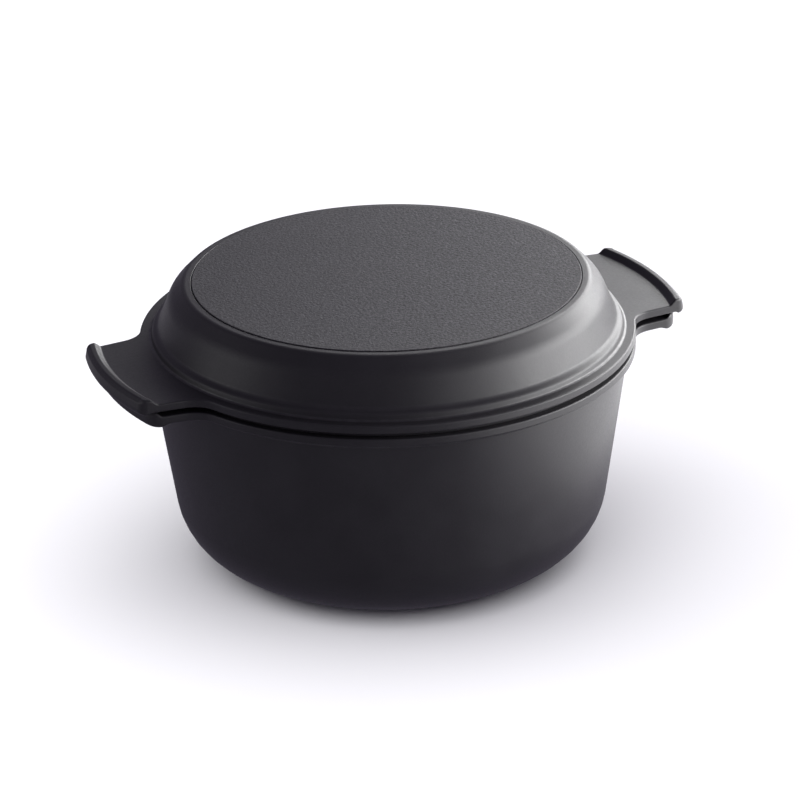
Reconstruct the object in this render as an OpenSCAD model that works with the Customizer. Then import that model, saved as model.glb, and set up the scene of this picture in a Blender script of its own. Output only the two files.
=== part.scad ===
// Round covered pot: a deep pot and a shallow pan-shaped lid, each cast in one piece
// with two flat lug handles. A grained disc is let into the lid's top and the pot's base.
// Origin at the centre of the underside, +Z up, handles along X.

/* [Rim] */
// Outer radius of the rim flange, on pot and lid alike
rim_r = 139.5; // [137:0.5:145]
// Height of the pot's rim above the surface that it stands on
pot_h = 125; // [105:0.5:140]
// Open gap between the pot's flange and the lid's
rim_gap = 2.8; // [2:0.1:3.5]
// Thickness of the flanges and of the handles' plates
flange_t = 4.8; // [4:0.1:6]

/* [Pot] */
// Wall thickness of both castings
wall = 4.5; // [3.5:0.1:5]
// Outer radius of the pot's wall just under its flange
wall_r = 135.3; // [132:0.1:135.5]
// Slope of the pot's wall from the vertical, narrowing downwards
wall_slope = 8.3; // [5:0.1:12]
// Radius of the curve from the wall into the base
corner_r = 40; // [25:1:50]
// Thickness of the pot's floor
floor_t = 6; // [5:0.1:8]

/* [Lid] */
// Height of the lid's shoulder above the underside of its flange
lid_h = 35; // [30:0.5:42]
// Radius of the corner between the lid's sloping wall and its top
shoulder_r = 114; // [113:0.1:115]
// Radius at which the bulging wall turns steeper
bulge_r = 122; // [120.5:0.1:122.5]
// Depth of that turn below the lid's top
bulge_drop = 8; // [7:0.1:10]
// Radius of the foot of the lid's sloping wall
slope_foot_r = 129; // [128.5:0.1:129.2]
// Height of the rounded step round the wall, above the flange's top
step_h = 4.9; // [4.5:0.1:5.2]
// Depth of the ring under the lid that drops inside the pot
spigot_h = 4; // [3:0.1:6]

/* [Discs] */
// Radius of the disc let into the lid
lid_disc_r = 109.2; // [100:0.1:109.6]
// Radius of the disc let into the pot's base
base_disc_r = 76; // [60:1:78]
// Thickness of each disc
disc_t = 2; // [1.5:0.1:2.2]
// Height that each disc stands proud of the casting round it
disc_proud = 0.5; // [0.3:0.1:0.8]

/* [Handles] */
// Distance from the axis to the outer end of the lid's handles
lid_reach = 171; // [168:0.5:175]
// Distance from the axis to the outer end of the pot's handles
pot_reach = 165; // [160:0.5:168]
// Half the width of a handle near its outer end
ear_half_w = 45; // [38:0.5:48]
// Slope of a handle's sides, widening towards the rim
ear_flare = 5; // [0:0.5:10]
// Radius of the hollow curve between a handle's side and the rim
ear_root_r = 16; // [8:0.5:20]
// Radius of the lid handle's outer corners, seen from above
lid_corner_r = 6; // [3:0.5:8]
// Radius of the pot handle's outer corners, seen from above
pot_corner_r = 9; // [3:0.5:12]
// Height of the upturned lip above the plate of the lid's handles
lip_h = 3; // [2:0.1:4]
// Width of that lip, from its inner foot to the outer end
lip_w = 9.2; // [8.8:0.1:11]

/* [Hidden] */
$fn = 192;

flange_z = pot_h - flange_t;
lid_z = pot_h + rim_gap;
lid_flange_z = lid_z + flange_t;
shoulder_z = lid_z + lid_h;
edge_r = 1;
under_flange_r = 3;
cavity_top_r = wall_r + flange_t * tan(wall_slope) - wall / cos(wall_slope);
ceiling_z = shoulder_z + disc_proud - disc_t - wall;

// The ring under the lid bears on the pot's rim, and its spigot drops inside with clearance.
seat_r = wall_r;
spigot_r = cavity_top_r - spigot_h * tan(wall_slope) - 0.7;
spigot_inner_r = spigot_r - wall;
ear_inner_r = seat_r + 0.4;

// How far the pot handle's end hangs below its plate, and turns up towards the lid's handle.
pot_lip_drop = 1.6;
pot_lip_rise = rim_gap - 0.3;
lid_lip_drop = 1;
recess_gap = 0.1;

// Radius of the pot's outer wall at height z, carried down straight to the base
function wall_at(z) = wall_r - (flange_z - z) * tan(wall_slope);

// Points of an arc of radius r that rounds corner b of the path a, b, c
function corner(a, b, c, r, n = 10) =
    let (u = (a - b) / norm(a - b))
    let (v = (c - b) / norm(c - b))
    let (half = acos(u * v) / 2)
    let (centre = b + (u + v) / norm(u + v) * r / sin(half))
    let (from = b + u * r / tan(half) - centre)
    let (to = b + v * r / tan(half) - centre)
    let (a0 = atan2(from.y, from.x))
    let (turn = atan2(from.x * to.y - from.y * to.x, from * to))
    [for (i = [0:n]) centre + r * [cos(a0 + turn * i / n), sin(a0 + turn * i / n)]];

// Closed outline through points [x, y, radius], each corner rounded to its own radius
function rounded(path) =
    let (count = len(path))
    [for (i = [0:count - 1])
        let (p = [for (k = [i - 1, i, i + 1]) [path[(k + count) % count].x, path[(k + count) % count].y]])
        each (path[i].z == 0 ? [p[1]] : corner(p[0], p[1], p[2], path[i].z))];

// Section of the pot, from the axis out under the base, up the wall and down inside
function pot_section() =
    let (foot_in = wall_at(floor_t) - wall / cos(wall_slope))
    rounded([
        [0, disc_proud, 0],
        [wall_at(disc_proud), disc_proud, corner_r],
        [wall_r, flange_z, under_flange_r],
        [rim_r, flange_z, edge_r],
        [rim_r, pot_h, edge_r],
        [cavity_top_r, pot_h, edge_r],
        [foot_in, floor_t, corner_r - wall],
        [0, floor_t, 0],
    ]);

// Section of the lid, from the spigot up the inside, and back down over the wall and its step
function lid_section() =
    rounded([
        [spigot_inner_r, pot_h - spigot_h, edge_r],
        [spigot_inner_r, lid_flange_z + 2, 8],
        [bulge_r - wall, shoulder_z - bulge_drop - wall / 2, 14],
        [shoulder_r - wall / 6, ceiling_z, 4],
        [0, ceiling_z, 0],
        [0, shoulder_z, 0],
        [shoulder_r, shoulder_z, 4],
        [bulge_r, shoulder_z - bulge_drop, 18],
        [slope_foot_r, lid_flange_z + step_h - 0.3, 0.8],
        [131.6, lid_flange_z + step_h, 2.5],
        [133.2, lid_flange_z, 1.6],
        [rim_r, lid_flange_z, edge_r],
        [rim_r, lid_z, edge_r],
        [seat_r, lid_z, 0],
        [seat_r, pot_h, 0],
        [spigot_r, pot_h, 0],
        [spigot_r, pot_h - spigot_h, edge_r],
    ]);

// Radial section of a lid handle: flat plate, then the lip with its full rounded outer face
function lid_ear_section() =
    rounded([
        [ear_inner_r, lid_z, 0],
        [lid_reach - 5.4, lid_z, 1],
        [lid_reach - 4, lid_z - lid_lip_drop, 1],
        [lid_reach - 0.8, lid_z - lid_lip_drop, 1.8],
        [lid_reach, lid_z + 1.5, 3],
        [lid_reach - 1, lid_flange_z + 0.8, 1.5],
        [lid_reach - 3, lid_flange_z + lip_h, 1.5],
        [lid_reach - 6, lid_flange_z + lip_h, 1],
        [lid_reach - lip_w, lid_flange_z, 1],
        [ear_inner_r, lid_flange_z, 0],
    ]);

// Radial section of a pot handle: flat plate whose end is thicker, both below and above
function pot_ear_section() =
    rounded([
        [ear_inner_r, flange_z, 0],
        [pot_reach - 8, flange_z, 5],
        [pot_reach - 4, flange_z - pot_lip_drop, 2],
        [pot_reach, flange_z - pot_lip_drop + 1, 2.5],
        [pot_reach, pot_h + pot_lip_rise, 1.2],
        [pot_reach - 2.6, pot_h + pot_lip_rise, 1],
        [pot_reach - 5, pot_h, 1.5],
        [ear_inner_r, pot_h, 0],
    ]);

// The point at distance r from the axis, going outwards along the line through p with direction u
function out_to(p, u, r) = p + u * (sqrt(pow(p * u, 2) - p * p + r * r) - p * u);

// Points along an arc about c, from angle a to angle b
function arc(c, r, a, b, n) =
    [for (i = [0:n]) let (t = a + (b - a) * i / n) c + r * [cos(t), sin(t)]];

// Outline of one handle seen from above, a little longer than its section so that the
// section sets where the handle ends, and cut in under the rim at its root
function ear_outline(reach, corner_r) =
    let (along = [cos(ear_flare), -sin(ear_flare)])
    let (outward = [sin(ear_flare), cos(ear_flare)])
    let (side = [pot_reach, ear_half_w])
    let (tip = out_to(side - outward * corner_r, along, reach + 0.2 - corner_r))
    let (root = out_to(side + outward * ear_root_r, along, rim_r - 0.2 + ear_root_r))
    let (half = concat(
        [[reach + 2, 0]],
        arc(tip, corner_r, atan2(tip.y, tip.x) - 15, 90 - ear_flare, 10),
        arc(root, ear_root_r, 270 - ear_flare, 180 + atan2(root.y, root.x), 14)))
    concat(half, [for (i = [len(half) - 1:-1:1]) [half[i].x, -half[i].y]]);

// The pair of handles with one radial section, cut to their outline
module ears(reach, corner_r, section) {
    for (side = [0, 1])
        mirror([side, 0, 0])
            intersection() {
                rotate_extrude() polygon(section);
                translate([0, 0, flange_z - 2 * flange_t])
                    linear_extrude(5 * flange_t) polygon(ear_outline(reach, corner_r));
            }
}

// Deep casting: wall, base, rim flange and two handles, with a recess for the base disc
module pot() {
    color([0.13, 0.125, 0.14])
        difference() {
            union() {
                rotate_extrude() polygon(pot_section());
                ears(pot_reach, pot_corner_r, pot_ear_section());
            }
            translate([0, 0, -1]) cylinder(h = disc_t + 1, r = base_disc_r + recess_gap);
        }
}

// Disc let into the pot's underside, which the pot stands on
module pot_base_disc() {
    color([0.3, 0.3, 0.31])
        cylinder(h = disc_t, r = base_disc_r);
}

// Shallow pan-shaped casting: bulging wall on a rounded step, rim flange and two handles, with a
// recess for its disc
module lid() {
    color([0.16, 0.155, 0.17])
        difference() {
            union() {
                rotate_extrude() polygon(lid_section());
                ears(lid_reach, lid_corner_r, lid_ear_section());
            }
            translate([0, 0, shoulder_z + disc_proud - disc_t])
                cylinder(h = disc_t, r = lid_disc_r + recess_gap);
        }
}

// Grained disc let into the lid's top
module lid_disc() {
    color([0.25, 0.25, 0.27])
        translate([0, 0, shoulder_z + disc_proud - disc_t])
            cylinder(h = disc_t, r = lid_disc_r);
}

pot();
pot_base_disc();
lid();
lid_disc();
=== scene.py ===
"""Looks of a round covered cast iron pot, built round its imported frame: two castings with lug
handles, each a pot or a shallow lid, and a grained disc let into each."""

import math

import bpy
from mathutils import Matrix, Vector


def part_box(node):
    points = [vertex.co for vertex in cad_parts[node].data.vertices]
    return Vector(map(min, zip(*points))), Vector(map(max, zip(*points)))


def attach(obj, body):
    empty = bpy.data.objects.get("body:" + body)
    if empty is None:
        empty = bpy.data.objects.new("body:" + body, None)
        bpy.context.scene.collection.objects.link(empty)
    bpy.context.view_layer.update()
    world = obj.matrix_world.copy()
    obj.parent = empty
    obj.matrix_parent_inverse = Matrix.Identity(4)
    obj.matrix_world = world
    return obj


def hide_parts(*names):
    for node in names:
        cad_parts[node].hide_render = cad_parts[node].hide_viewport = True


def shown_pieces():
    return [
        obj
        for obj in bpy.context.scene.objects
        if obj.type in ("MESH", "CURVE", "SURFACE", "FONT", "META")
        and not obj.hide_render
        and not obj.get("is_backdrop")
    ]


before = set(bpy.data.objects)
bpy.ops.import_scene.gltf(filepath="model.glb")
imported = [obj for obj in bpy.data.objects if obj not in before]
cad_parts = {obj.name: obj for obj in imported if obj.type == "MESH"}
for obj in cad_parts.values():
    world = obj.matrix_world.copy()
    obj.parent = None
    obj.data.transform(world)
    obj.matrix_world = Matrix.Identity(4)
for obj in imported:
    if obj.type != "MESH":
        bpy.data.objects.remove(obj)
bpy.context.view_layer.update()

# ------------------------------------------------------------------ sizes, in millimetres
MM = 0.001


def box_mm(node):
    low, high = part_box(node)
    return low / MM, high / MM


pot_low, pot_high = box_mm("pot")
lid_low, lid_high = box_mm("lid")
lid_disc_low, lid_disc_high = box_mm("lid_disc")
base_disc_low, base_disc_high = box_mm("pot_base_disc")

WALL = 4.5
WALL_SLOPE = math.radians(8.3)
FLANGE_T = 4.8
RIM_GAP = 2.8
SPIGOT_H = 4.0
FLOOR_T = 6.0
BASE_CORNER_R = 40.0
STEP_H = 4.9
EDGE_R = 1.0
SLOPE_FOOT_R = 129.0
BULGE_R = 122.0
BULGE_DROP = 8.0
SHOULDER_R = 114.0
STEP_R = 133.2
WALL_R = 135.3
POT_EDGE_FROM_R = 138.0
LID_EDGE_FROM_R = 137.6
LID_UNDER_EDGE_FROM_R = 136.8
DISC_GAP = 0.35

RIM_R = pot_high.y
POT_REACH = pot_high.x
LID_REACH = lid_high.x
POT_H = lid_low.z + SPIGOT_H
FLANGE_Z = POT_H - FLANGE_T
LID_Z = POT_H + RIM_GAP
LID_FLANGE_Z = LID_Z + FLANGE_T
SHOULDER_Z = lid_high.z
CEILING_Z = lid_disc_low.z - WALL
CAVITY_TOP_R = WALL_R + FLANGE_T * math.tan(WALL_SLOPE) - WALL / math.cos(WALL_SLOPE)
SPIGOT_R = CAVITY_TOP_R - SPIGOT_H * math.tan(WALL_SLOPE) - 0.7

EAR_HALF_W = 45.0
EAR_FLARE = math.radians(5.0)
EAR_ROOT_R = 16.0
LID_CORNER_R = 6.0
POT_CORNER_R = 9.0
LIP_H = 3.0
LIP_W = 9.2
LIP_DROP = 1.0
POT_LIP_DROP = 1.6
POT_LIP_RISE = RIM_GAP - 0.3


# ------------------------------------------------------------------ outlines
def arc(centre, radius, start, end, steps):
    """Points along an arc, from angle start to angle end."""
    angles = [start + (end - start) * i / steps for i in range(steps + 1)]
    return [centre + radius * Vector((math.cos(t), math.sin(t))) for t in angles]


def rounded(path, steps=8, support=0.3):
    """A path of (x, z, radius) whose inner points are rounded, with a point close to each arc's ends."""
    points = [Vector(path[0][:2])]
    for before, corner, after in zip(path, path[1:], path[2:]):
        b = Vector(corner[:2])
        u = (Vector(before[:2]) - b).normalized()
        v = (Vector(after[:2]) - b).normalized()
        half = u.angle(v) / 2
        radius = corner[2]
        reach = radius / math.tan(half)
        centre = b + (u + v).normalized() * radius / math.sin(half)
        start = b + u * reach
        end = b + v * reach
        turn = (start - centre).angle_signed(end - centre)
        first = math.atan2(start.y - centre.y, start.x - centre.x)
        points.append(start + u * support)
        points += arc(centre, radius, first, first - turn, steps)
        points.append(end + v * support)
    points.append(Vector(path[-1][:2]))
    return points


def out_to(point, direction, radius):
    """Where the line through point along direction comes to that distance from the axis."""
    along = point.dot(direction)
    return point + direction * (math.sqrt(along ** 2 - point.length_squared + radius ** 2) - along)


def smooth(t):
    return t * t * (3 - 2 * t)


def quarter_outline(reach, corner_r):
    """One quarter of a casting seen from above, from the middle of a handle's end round to the Y axis:
    (point, outward normal, how much it belongs to the handle's end)."""
    along = Vector((math.cos(EAR_FLARE), -math.sin(EAR_FLARE)))
    outward = Vector((math.sin(EAR_FLARE), math.cos(EAR_FLARE)))
    side = Vector((POT_REACH, EAR_HALF_W))
    tip = out_to(side - outward * corner_r, along, reach - corner_r)
    root = out_to(side + outward * EAR_ROOT_R, along, RIM_R + EAR_ROOT_R)
    origin = Vector((0, 0))
    tip_angle = math.atan2(tip.y, tip.x)
    root_angle = math.atan2(root.y, root.x)
    side_angle = math.pi / 2 - EAR_FLARE

    outline = [(p, p.normalized(), 1.0) for p in arc(origin, reach, 0, tip_angle, 16)]
    corner = arc(tip, corner_r, tip_angle, side_angle, 14)
    outline += [(p, (p - tip).normalized(), smooth(1 - i / 14)) for i, p in enumerate(corner)][1:]
    hollow = arc(root, EAR_ROOT_R, side_angle + math.pi, root_angle + math.pi, 12)
    count = round((hollow[0] - corner[-1]).length / 0.8)
    outline += [(corner[-1].lerp(hollow[0], i / count), outward, 0.0) for i in range(1, count)]
    outline += [(p, (root - p).normalized(), 0.0) for p in hollow]
    rim = arc(origin, RIM_R, root_angle, math.pi / 2, 44)
    outline += [(p, p.normalized(), 0.0) for p in rim[1:]]
    return outline


def whole_outline(reach, corner_r):
    """The quarter outline mirrored round the casting, without repeating the points on the axes."""
    quarter = quarter_outline(reach, corner_r)

    def mirrored(items, sx, sy):
        return [(Vector((p.x * sx, p.y * sy)), Vector((n.x * sx, n.y * sy)), w) for p, n, w in items]

    back = quarter[::-1]
    return (quarter + mirrored(back[1:], -1, 1) + mirrored(quarter[1:], -1, -1)
            + mirrored(back[1:-1], 1, -1))


def fill(path, longest=9.0):
    """The path with its long straight stretches divided."""
    points = [path[0]]
    for a, b in zip(path, path[1:]):
        parts = math.ceil((b - a).length / longest)
        points += [a.lerp(b, i / parts) for i in range(1, parts + 1)]
    return points


# ------------------------------------------------------------------ meshes
def make_object(name, vertices, faces):
    mesh = bpy.data.meshes.new(name)
    mesh.from_pydata([v * MM for v in vertices], [], faces)
    mesh.validate()
    mesh.shade_smooth()
    piece = bpy.data.objects.new(name, mesh)
    bpy.context.scene.collection.objects.link(piece)
    return piece


def closed_grid(name, spokes, low_z, high_z):
    """A closed piece from equal runs of points, each from near the axis below to near it above."""
    count = len(spokes)
    ring = len(spokes[0])
    vertices = [v for spoke in spokes for v in spoke] + [Vector((0, 0, low_z)), Vector((0, 0, high_z))]
    low_pole = count * ring
    faces = []
    for j in range(count):
        a = j * ring
        b = (j + 1) % count * ring
        faces.append((a, low_pole, b))
        faces += [(a + i, b + i, b + i + 1, a + i + 1) for i in range(ring - 1)]
        faces.append((b + ring - 1, low_pole + 1, a + ring - 1))
    return make_object(name, vertices, faces)


def heights(profile):
    """A function of distance from the axis that follows a profile of (radius, z) points."""
    ordered = sorted(profile, key=lambda p: p.x)

    def at(radius):
        if radius <= ordered[0].x:
            return ordered[0].y
        for a, b in zip(ordered, ordered[1:]):
            if radius <= b.x:
                return a.y + (b.y - a.y) * (radius - a.x) / max(b.x - a.x, 1e-6)
        return ordered[-1].y

    return at


def spread(start, stop, count):
    return [start + (stop - start) * i / count for i in range(1, count)]


class Ear:
    """How a casting's edge runs: plate heights over and under, and the outer face of the handle's end.

    top and under are profiles of (radius, z) over the handle; nose is the outer face from the top
    inner point down to the underside, as (inset from the outline, z)."""

    def __init__(self, top, under, nose, top_feet, top_counts, under_feet, under_counts):
        self.top = heights(top)
        self.under = heights(under)
        self.nose = nose
        self.top_feet = top_feet
        self.top_counts = top_counts
        self.under_feet = under_feet
        self.under_counts = under_counts

    def side_face(self, top_z, under_z, radius):
        """The outer face along a handle's side or the rim: rounded above and below, upright between."""
        count = len(self.nose)
        turns = (count - 2) // 2
        quarter = [math.pi / 2 * i / (turns - 1) for i in range(turns)]
        upper = [Vector((radius * (1 - math.sin(t)), top_z - radius * (1 - math.cos(t)))) for t in quarter]
        lower = [Vector((EDGE_R * (1 - math.cos(t)), under_z + EDGE_R * (1 - math.sin(t)))) for t in quarter]
        middle = count - 2 * turns
        between = [upper[-1].lerp(lower[0], i / (middle + 1)) for i in range(1, middle + 1)]
        return upper + between + lower


def run_to(edge_r, start_r, feet, counts):
    """Radii from start_r out towards edge_r that meet each foot of the profile while there is room."""
    stops = [start_r]
    for i, foot in enumerate(feet):
        room = 0.12 * (len(feet) - i)
        stops.append(max(min(foot, edge_r - room), stops[-1] + 0.04))
    stops.append(edge_r)
    radii = []
    for a, b, count in zip(stops, stops[1:], counts):
        radii += [a] + spread(a, b, count)
    return radii


def edge_run(ear, point, normal, weight, under_start, top_start):
    """Points across the edge at one place on the outline, from the underside round to the top."""
    plate_top = top_start.y
    lift = ear.top(point.length - 2.5) - plate_top
    side_r = EDGE_R + 0.7 * max(lift, 0) / LIP_H * (1 - weight)
    top_inset = side_r + (ear.nose[0].x - side_r) * weight
    under_inset = EDGE_R + (ear.nose[-1].x - EDGE_R) * weight
    top_point = point - normal * top_inset
    under_point = point - normal * under_inset
    side = ear.side_face(ear.top(top_point.length), ear.under(under_point.length), side_r)
    face = [s.lerp(n, weight) for s, n in zip(side, ear.nose)]

    def over(direction, radii, height):
        return [Vector((direction.x * r, direction.y * r, height(r))) for r in radii]

    under_radii = run_to(under_point.length, under_start.x, ear.under_feet, ear.under_counts)
    top_radii = run_to(top_point.length, top_start.x, ear.top_feet, ear.top_counts)
    outer = [point - normal * p.x for p in face[::-1]]
    return (over(under_point.normalized(), under_radii, ear.under)
            + [Vector((p.x, p.y, f.y)) for p, f in zip(outer, face[::-1])]
            + over(top_point.normalized(), top_radii[::-1], ear.top))


def revolved(direction, section):
    return [Vector((direction.x * p.x, direction.y * p.x, p.y)) for p in section]


def edge_values(ring):
    """How sharply the surface turns outwards at each point of a ring, 0 where flat or hollow."""
    values = [0.0]
    for a, b, c in zip(ring, ring[1:], ring[2:]):
        before, after = b - a, c - b
        across = Vector((-b.y, b.x, 0))
        length = (before.length + after.length) / 2
        if length < 1e-4 or across.length < 1e-4 or before.length < 1e-5 or after.length < 1e-5:
            values.append(0.0)
            continue
        turn = before.angle(after)
        outwards = after.cross(before).dot(across) < 0
        bend = turn / length if outwards else 0.0
        values.append(smooth(min(max((bend - 0.1) / 0.5, 0.0), 1.0)))
    return values + [0.0]


OUTSIDE = 0
INSIDE = 1
DISC_SPOKES = 192


def casting(name, ear, outline, under_section, top_section, inside_is_top):
    """One casting as a closed grid of rings and spokes: its underside section out from the axis,
    its edge with the handles, and its upper section back to the axis."""
    spokes = []
    for point, normal, weight in outline:
        run = edge_run(ear, point, normal, weight, under_section[-1], top_section[0])
        under_way = Vector(run[0][:2]).normalized()
        top_way = Vector(run[-1][:2]).normalized()
        spokes.append(revolved(under_way, under_section[1:-1]) + run + revolved(top_way, top_section[1:-1]))
    low_z = under_section[0].y
    high_z = top_section[-1].y
    piece = closed_grid(name, spokes, low_z, high_z)

    low_pole = Vector((0, 0, low_z))
    high_pole = Vector((0, 0, high_z))
    values = [v for spoke in spokes for v in edge_values([low_pole] + spoke + [high_pole])[1:-1]]
    edge = piece.data.attributes.new("edge", "FLOAT", "POINT")
    edge.data.foreach_set("value", values + [0.0, 0.0])

    faces_per_spoke = len(spokes[0]) + 1
    inner = len(top_section if inside_is_top else under_section) - 1
    slots = [OUTSIDE] * (faces_per_spoke - inner) + [INSIDE] * inner
    if not inside_is_top:
        slots.reverse()
    piece.data.polygons.foreach_set("material_index", slots * len(spokes))
    return piece


def disc(name, radius, low_z, high_z, shows_above):
    """A flat round disc with an eased edge on its showing side and a small one behind."""
    middle = (low_z + high_z) / 2

    def section(z, eased):
        edge = rounded([(radius - 3, z), (radius, z, eased), (radius, middle)], steps=6, support=0.2)
        return [Vector((r, z)) for r in spread(0, radius - 3, 8)] + edge

    under = section(low_z, 0.15 if shows_above else 0.4)
    top = section(high_z, 0.4 if shows_above else 0.15)
    path = under + top[::-1][1:]
    turns = [math.tau * j / DISC_SPOKES for j in range(DISC_SPOKES)]
    spokes = [revolved(Vector((math.cos(t), math.sin(t))), path) for t in turns]
    return closed_grid(name, spokes, low_z, high_z)


# ------------------------------------------------------------------ the pieces
def pot_ear():
    lip_top = POT_H + POT_LIP_RISE
    lip_under = FLANGE_Z - POT_LIP_DROP
    top = rounded([(POT_EDGE_FROM_R, POT_H), (POT_REACH - 5.2, POT_H, 2),
                   (POT_REACH - 2.8, lip_top, 1), (POT_REACH - 1.6, lip_top)], support=0.2)
    under = rounded([(POT_EDGE_FROM_R, FLANGE_Z), (POT_REACH - 9, FLANGE_Z, 6),
                     (POT_REACH - 5, lip_under, 3), (POT_REACH - 3.2, lip_under)], support=0.2)
    nose = rounded([(1.6, lip_top), (0.3, lip_top, 0.9), (0, POT_H - 1.5, 4), (0.1, FLANGE_Z - 0.2, 3),
                    (1.2, lip_under, 2), (3.2, lip_under)], steps=4, support=0.05)
    return Ear(top, under, nose,
               top_feet=(POT_REACH - 6, POT_REACH - 4.4, POT_REACH - 3.4, POT_REACH - 2.2),
               top_counts=(4, 4, 2, 3, 1),
               under_feet=(POT_REACH - 11, POT_REACH - 4), under_counts=(3, 8, 1))


def make_pot():
    foot_r = WALL_R - (FLANGE_Z - base_disc_low.z) * math.tan(WALL_SLOPE)
    inner_foot_r = WALL_R - (FLANGE_Z - FLOOR_T) * math.tan(WALL_SLOPE) - WALL / math.cos(WALL_SLOPE)
    recess_r = base_disc_high.x + DISC_GAP
    base_z = pot_low.z
    under = rounded([(0, base_disc_high.z), (recess_r, base_disc_high.z, 0.2), (recess_r, base_z, 0.3),
                     (foot_r, base_z, BASE_CORNER_R), (WALL_R, FLANGE_Z, 3),
                     (POT_EDGE_FROM_R, FLANGE_Z)], steps=10)
    top = rounded([(POT_EDGE_FROM_R, POT_H), (CAVITY_TOP_R, POT_H, EDGE_R),
                   (inner_foot_r, FLOOR_T, BASE_CORNER_R - WALL), (0, FLOOR_T)], steps=12)
    return casting("pot_casting", pot_ear(), whole_outline(POT_REACH, POT_CORNER_R),
                   fill(under), fill(top), inside_is_top=True)


def lid_ear():
    ridge = LID_FLANGE_Z + LIP_H
    hang = LID_Z - LIP_DROP
    top = rounded([(LID_EDGE_FROM_R, LID_FLANGE_Z), (LID_REACH - LIP_W, LID_FLANGE_Z, 1),
                   (LID_REACH - 6, ridge, 1.2), (LID_REACH - 4, ridge)], support=0.2)
    under = rounded([(LID_UNDER_EDGE_FROM_R, LID_Z), (LID_REACH - 5.4, LID_Z, 1), (LID_REACH - 4, hang, 1),
                     (LID_REACH - 2.8, hang)], support=0.1)
    nose = rounded([(4, ridge), (3, ridge, 1.5), (1, LID_FLANGE_Z + 0.8, 1.5), (0, LID_Z + 1.5, 4),
                    (0.8, hang, 1.6), (2.8, hang)], steps=4, support=0.05)
    foot = LID_REACH - LIP_W
    return Ear(top, under, nose,
               top_feet=(foot - 0.6, foot + 0.6, LID_REACH - 6.6, LID_REACH - 5.2),
               top_counts=(4, 3, 3, 3, 2),
               under_feet=(LID_REACH - 6.2, LID_REACH - 3.4), under_counts=(3, 5, 1))


def make_lid():
    spigot_inner_r = SPIGOT_R - WALL
    step_z = LID_FLANGE_Z + STEP_H
    recess_r = lid_disc_high.x + DISC_GAP
    under = rounded([(0, CEILING_Z), (SHOULDER_R - WALL / 6, CEILING_Z, 4),
                     (BULGE_R - WALL, SHOULDER_Z - BULGE_DROP - WALL / 2, 14),
                     (spigot_inner_r, LID_FLANGE_Z + 2, 8),
                     (spigot_inner_r, lid_low.z, EDGE_R), (SPIGOT_R, lid_low.z, EDGE_R),
                     (SPIGOT_R, POT_H, 0.4), (WALL_R, POT_H, 0.3), (WALL_R, LID_Z, 0.5),
                     (LID_UNDER_EDGE_FROM_R, LID_Z)], steps=8)
    top = rounded([(LID_EDGE_FROM_R, LID_FLANGE_Z), (STEP_R, LID_FLANGE_Z, 1.6),
                   (STEP_R - 1.2, step_z - 1.2, 2.6),
                   (SLOPE_FOOT_R - 0.2, step_z + 0.4, 4), (BULGE_R, SHOULDER_Z - BULGE_DROP, 18),
                   (SHOULDER_R, SHOULDER_Z, 4), (recess_r, SHOULDER_Z, 0.4),
                   (recess_r, lid_disc_low.z, 0.2), (0, lid_disc_low.z)], steps=10, support=0.05)
    return casting("lid_casting", lid_ear(), whole_outline(LID_REACH, LID_CORNER_R),
                   fill(under), fill(top), inside_is_top=False)


# ------------------------------------------------------------------ finishes
class Finish:
    """A procedural material: a Principled shader fed by patterns laid out in millimetres."""

    def __init__(self, name):
        self.material = bpy.data.materials.new(name)
        self.material.use_nodes = True
        self.nodes = self.material.node_tree.nodes
        self.links = self.material.node_tree.links
        self.shader = self.nodes["Principled BSDF"]
        position = self.nodes.new("ShaderNodeTexCoord").outputs["Object"]
        self.place = self.node("VectorMath", {0: position, "Scale": 1 / MM}, operation="SCALE").outputs[0]

    def feed(self, socket, value):
        if isinstance(value, bpy.types.NodeSocket):
            self.links.new(value, socket)
        else:
            socket.default_value = value

    def node(self, kind, inputs, **settings):
        node = self.nodes.new("ShaderNode" + kind)
        for key, value in settings.items():
            setattr(node, key, value)
        for key, value in inputs.items():
            self.feed(node.inputs[key], value)
        return node

    def noise(self, size, detail=2.0, roughness=0.5):
        inputs = {"Vector": self.place, "Scale": 1 / size, "Detail": detail, "Roughness": roughness}
        return self.node("TexNoise", inputs).outputs[0]

    def cells(self, size):
        inputs = {"Vector": self.place, "Scale": 1 / size, "Smoothness": 0.6}
        return self.node("TexVoronoi", inputs, feature="SMOOTH_F1").outputs["Distance"]

    def span(self, value, low, high, to_low=0.0, to_high=1.0):
        inputs = {"Value": value, "From Min": low, "From Max": high, "To Min": to_low, "To Max": to_high}
        return self.node("MapRange", inputs).outputs[0]

    def calc(self, operation, a, b):
        return self.node("Math", {0: a, 1: b}, operation=operation).outputs[0]

    def blend(self, amount, a, b):
        inputs = {0: amount}
        for socket, colour in ((6, a), (7, b)):
            inputs[socket] = (*colour, 1) if isinstance(colour, tuple) else colour
        return self.node("Mix", inputs, data_type="RGBA").outputs[2]

    def bump(self, height, depth, under=None):
        """A relief of that depth in millimetres, over another one if given."""
        inputs = {"Height": height, "Distance": depth * MM}
        if under:
            inputs["Normal"] = under
        return self.node("Bump", inputs).outputs[0]

    def shade(self, colour, roughness, normal, **constants):
        self.feed(self.shader.inputs["Base Color"], colour)
        self.feed(self.shader.inputs["Roughness"], roughness)
        self.feed(self.shader.inputs["Normal"], normal)
        for key, value in constants.items():
            self.shader.inputs[key.replace("_", " ")].default_value = value
        return self.material


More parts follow.
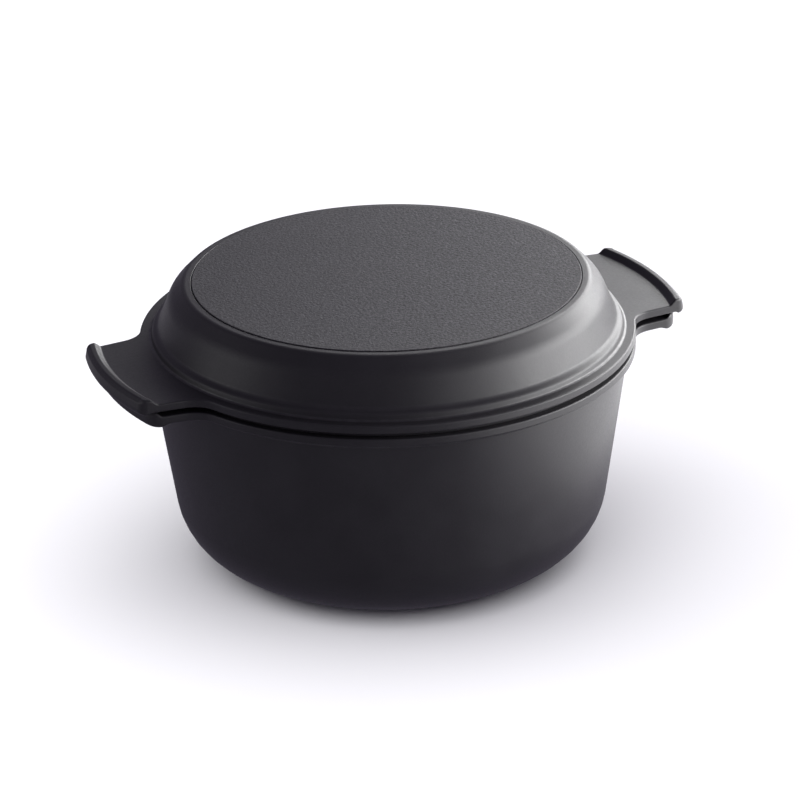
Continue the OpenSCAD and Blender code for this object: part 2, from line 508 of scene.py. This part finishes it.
def outside_iron():
    """Seasoned casting: satin black, slightly pebbled, paler and smoother where edges are handled."""
    finish = Finish("seasoned_iron")
    mottle = finish.noise(26, 3)
    pebbles = finish.noise(1.2, 2)
    grain = finish.noise(0.4, 3)
    edge = finish.node("Attribute", {}, attribute_name="edge").outputs["Fac"]
    wear = finish.calc("MULTIPLY", edge, finish.span(finish.noise(5, 3), 0.35, 0.65, 0.25, 1.0))
    colour = finish.blend(finish.span(mottle, 0.35, 0.65), IRON_DARK, IRON_LIGHT)
    colour = finish.blend(finish.span(grain, 0.55, 0.8, 0, 0.5), colour, IRON_FLECK)
    colour = finish.blend(finish.calc("MULTIPLY", wear, 0.5), colour, IRON_WORN)
    rough = finish.span(mottle, 0.3, 0.7, IRON_ROUGH - 0.02, IRON_ROUGH + 0.02)
    rough = finish.calc("ADD", rough, finish.span(pebbles, 0.3, 0.7, -0.03, 0.03))
    rough = finish.calc("SUBTRACT", rough, finish.calc("MULTIPLY", wear, 0.1))
    normal = finish.bump(finish.noise(14, 1), 0.04)
    normal = finish.bump(pebbles, 0.03, normal)
    normal = finish.bump(grain, 0.012, normal)
    return finish.shade(colour, rough, normal, Specular_IOR_Level=IRON_SPECULAR)


def inside_iron():
    """The casting's inner faces: rougher, drier and speckled with seasoning."""
    finish = Finish("seasoned_iron_inside")
    mottle = finish.noise(18, 4)
    pebbles = finish.noise(1.0, 3, 0.6)
    pits = finish.cells(1.5)
    edge = finish.node("Attribute", {}, attribute_name="edge").outputs["Fac"]
    colour = finish.blend(finish.span(mottle, 0.35, 0.65), IRON_DARK, IRON_LIGHT)
    colour = finish.blend(finish.span(pebbles, 0.5, 0.75, 0, 0.8), colour, IRON_FLECK)
    colour = finish.blend(finish.calc("MULTIPLY", edge, 0.4), colour, IRON_WORN)
    rough = finish.span(mottle, 0.3, 0.7, 0.5, 0.64)
    normal = finish.bump(finish.noise(10, 1), 0.1)
    normal = finish.bump(pebbles, 0.06, normal)
    normal = finish.bump(pits, 0.03, normal)
    return finish.shade(colour, rough, normal, Specular_IOR_Level=IRON_SPECULAR)


def grained_disc():
    """The disc let into the lid: a matte grey skin with a fine leathery stipple."""
    finish = Finish("grained_disc")
    grain = finish.noise(1.5, 3, 0.6)
    cells = finish.cells(1.7)
    cloud = finish.noise(35, 2)
    relief = finish.calc("ADD", finish.span(grain, 0.3, 0.7), finish.calc("MULTIPLY", cells, 0.6))
    colour = finish.blend(finish.span(relief, 0.35, 1.25), DISC_DARK, DISC_LIGHT)
    colour = finish.blend(finish.span(cloud, 0.35, 0.65, 0, 0.15), colour, DISC_DARK)
    rough = finish.span(relief, 0.3, 1.2, 0.68, 0.55)
    normal = finish.bump(relief, 0.09)
    normal = finish.bump(finish.noise(0.35, 2), 0.02, normal)
    return finish.shade(colour, rough, normal, Specular_IOR_Level=DISC_SPECULAR)


def turned_disc():
    """The disc let into the base: bare steel faced on a lathe, with rings and a few scuffs."""
    finish = Finish("turned_steel")
    flat = finish.node("VectorMath", {0: finish.place, 1: (1.0, 1.0, 0.0)}, operation="MULTIPLY").outputs[0]
    radius = finish.node("VectorMath", {0: flat}, operation="LENGTH").outputs["Value"]
    inputs = {"W": radius, "Scale": 1.6, "Detail": 3.0, "Roughness": 0.65}
    rings = finish.node("TexNoise", inputs, noise_dimensions="1D").outputs[0]
    scuffs = finish.noise(7, 5, 0.7)
    colour = finish.blend(finish.span(rings, 0.3, 0.7), STEEL_DARK, STEEL_LIGHT)
    colour = finish.blend(finish.span(scuffs, 0.55, 0.75, 0, 0.5), colour, STEEL_DARK)
    rough = finish.span(rings, 0.3, 0.7, 0.36, 0.5)
    rough = finish.calc("ADD", rough, finish.span(scuffs, 0.5, 0.7, 0, 0.12))
    normal = finish.bump(rings, 0.04)
    return finish.shade(colour, rough, normal, Metallic=0.9)


def pale_floor():
    finish = Finish("pale_floor")
    colour = finish.blend(finish.noise(300, 2), FLOOR_LIGHT, FLOOR_DARK)
    return finish.shade(colour, 0.9, finish.bump(finish.noise(2, 2), 0.02), Specular_IOR_Level=0.1)


IRON_DARK = (0.0080, 0.0072, 0.0092)
IRON_LIGHT = (0.0100, 0.0091, 0.0115)
IRON_FLECK = (0.024, 0.0225, 0.0255)
IRON_WORN = (0.036, 0.034, 0.037)
IRON_ROUGH = 0.47
IRON_SPECULAR = 0.4
DISC_DARK = (0.0190, 0.0182, 0.0207)
DISC_LIGHT = (0.0440, 0.0422, 0.0474)
DISC_SPECULAR = 0.2
STEEL_DARK = (0.16, 0.155, 0.15)
STEEL_LIGHT = (0.34, 0.33, 0.32)
FLOOR_LIGHT = (0.86, 0.86, 0.87)
FLOOR_DARK = (0.83, 0.83, 0.84)
FLOOR_HALF = 9000
WORLD_LIGHT = (0.205, 0.186, 0.245)


# ------------------------------------------------------------------ assembly
def fit(piece, node, body, slot, *materials):
    for material in materials:
        piece.data.materials.append(material)
    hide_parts(node)
    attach(piece, body)


outside = outside_iron()
inside = inside_iron()
fit(make_pot(), "pot", "pot", "pot_casting", outside, inside)
fit(make_lid(), "lid", "lid", "lid_casting", outside, inside)
fit(disc("grained_lid_disc", lid_disc_high.x, lid_disc_low.z, lid_disc_high.z, True),
    "lid_disc", "lid", "lid_disc", grained_disc())
fit(disc("turned_base_disc", base_disc_high.x, base_disc_low.z, base_disc_high.z, False),
    "pot_base_disc", "pot", "base_disc", turned_disc())

floor_turns = ((-1, -1), (1, -1), (1, 1), (-1, 1))
floor_corners = [Vector((x * FLOOR_HALF, y * FLOOR_HALF, 0)) for x, y in floor_turns]
floor = make_object("floor", floor_corners, [(0, 1, 2, 3)])
floor.data.materials.append(pale_floor())
floor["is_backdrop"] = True

# ------------------------------------------------------------------ studio
VIEW_TURN = math.radians(-23.4)
VIEW_DROP = math.radians(23.63)
VIEW_ROLL = math.radians(1.32)
VIEW_FAR = 2.1697
VIEW_SIDE = 0.0060
VIEW_RISE = -0.0436
VIEW_HEIGHT = 0.1343
VIEW_LENS = 173.58
AIM_HEIGHT = 0.1

UP = Vector((0, 0, 1))
ACROSS = Vector((math.cos(VIEW_TURN), math.sin(VIEW_TURN), 0))
AWAY = UP.cross(ACROSS)
FORWARD = AWAY * math.cos(VIEW_DROP) - UP * math.sin(VIEW_DROP)
UPWARD = AWAY * math.sin(VIEW_DROP) + UP * math.cos(VIEW_DROP)


def add_camera():
    data = bpy.data.cameras.new("camera")
    data.lens = VIEW_LENS
    data.clip_end = 50
    camera = bpy.data.objects.new("camera", data)
    bpy.context.scene.collection.objects.link(camera)
    right = ACROSS * math.cos(VIEW_ROLL) - UPWARD * math.sin(VIEW_ROLL)
    upright = ACROSS * math.sin(VIEW_ROLL) + UPWARD * math.cos(VIEW_ROLL)
    place = UP * VIEW_HEIGHT + ACROSS * VIEW_SIDE + UPWARD * VIEW_RISE - FORWARD * VIEW_FAR
    turned = Matrix((right, upright, -FORWARD)).transposed().to_4x4()
    camera.matrix_world = Matrix.Translation(place) @ turned
    bpy.context.scene.camera = camera


def lit_group(name, objects):
    """A collection that a light can be kept to."""
    group = bpy.data.collections.new(name)
    for piece in objects:
        group.objects.link(piece)
    return group


def add_panel(name, place, size, radiance, lit, lying=False):
    """A soft light of that width and height, so far right of, behind and above the middle of the floor under
    the object, which lights one group. It faces the object, or straight up where it lies on the floor."""
    data = bpy.data.lights.new(name, "AREA")
    data.shape = "RECTANGLE"
    data.size, data.size_y = size
    data.energy = radiance * math.pi * data.size * data.size_y
    panel = bpy.data.objects.new(name, data)
    bpy.context.scene.collection.objects.link(panel)
    position = ACROSS * place[0] + AWAY * place[1] + UP * place[2]
    turned = (position - UP * AIM_HEIGHT).to_track_quat("Z", "Y").to_matrix().to_4x4()
    if lying:
        turned = Matrix.Rotation(VIEW_TURN, 4, "Z") @ Matrix.Rotation(math.pi, 4, "X")
    panel.matrix_world = Matrix.Translation(position) @ turned
    panel.visible_camera = False
    panel.light_linking.receiver_collection = lit


add_camera()
cookware = lit_group("cookware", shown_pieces())
ground = lit_group("ground", [floor])
add_panel("back", (0.5, 1.83, 0.91), (0.8, 1.0), 2.6, cookware)
add_panel("back_right", (1.06, 1.52, 0.85), (1.4, 1.2), 9.3, cookware)
add_panel("right_back", (1.76, 0.82, 0.58), (1.4, 1.0), 9, cookware)
add_panel("right", (1.93, -0.17, 0.58), (1.4, 1.0), 13, cookware)
add_panel("right_front", (1.49, -1.25, 0.58), (1.4, 1.0), 2.1, cookware)
add_panel("left", (-1.93, -0.17, 0.58), (1.0, 1.0), 1.6, cookware)
add_panel("right_card", (0.55, 0.25, 0.004), (0.7, 1.3), 2.7, cookware, lying=True)
add_panel("back_left_card", (-0.45, 0.6, 0.004), (0.5, 0.8), 0.3, cookware, lying=True)
add_panel("floor_overhead", (0, 0, 3.0), (3.0, 3.0), 0.6, ground)
add_panel("floor_wide", (0, 0, 2.0), (7.0, 7.0), 1.26, ground)
add_panel("floor_left", (-1.73, 0, 1.1), (1.5, 1.0), 1.2, ground)
floor.visible_glossy = False

world = bpy.data.worlds.new("studio")
world.use_nodes = True
world.node_tree.nodes["Background"].inputs["Color"].default_value = (*WORLD_LIGHT, 1)
bpy.context.scene.world = world
bpy.context.scene.view_settings.view_transform = "Standard"
